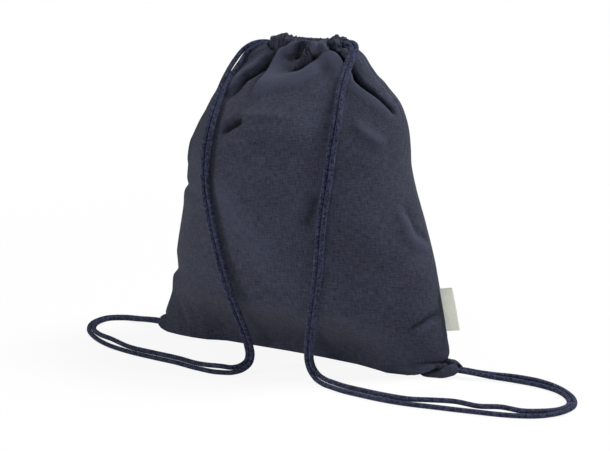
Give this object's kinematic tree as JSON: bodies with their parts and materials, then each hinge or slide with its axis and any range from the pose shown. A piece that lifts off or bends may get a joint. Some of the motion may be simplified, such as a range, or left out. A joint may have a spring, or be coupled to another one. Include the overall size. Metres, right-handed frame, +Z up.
{
  "type": "drawstring backpack",
  "caption": "Filled cloth drawstring backpack standing on its base, with a gathered mouth, double cord straps sewn into the bottom corners and a folded side label.",
  "frame": {"origin": "on the floor under the middle of the filled bag, at the bottom of its bounding box without the free cords", "axes": "+X towards the wearer's right as seen from the strap side, along the bottom seam; -Y out of the front, where the straps lie; +Z up"},
  "size_m": [0.5582, 0.1935, 0.334],
  "materials": {
    "cloth": "matte",
    "cord": "matte",
    "label_tape": "matte"
  },
  "bodies": {
    "bag": {"front_panel": "cloth", "back_panel": "cloth", "front_hem_channel": "cloth", "back_hem_channel": "cloth", "left_side_seam": "cloth", "right_side_seam": "cloth", "bottom_seam": "cloth", "left_drawstring_in_hem": "cord", "right_drawstring_in_hem": "cord", "left_strap_front_run": "cord", "left_strap_back_run": "cord", "right_strap_front_run": "cord", "right_strap_back_run": "cord", "left_strap_sewn_ends": "cord", "right_strap_sewn_ends": "cord"},
    "label": {"side_label": "label_tape"}
  },
  "joints": [
    {"name": "label_flap", "type": "hinge", "parent": "bag", "child": "label", "pos_m": [0.15683, 0, 0.068], "axis": [-0.2018, 0, 0.9794], "range_deg": [-75, 75], "stiffness_Nm_per_rad": 0.0001}
  ]
}
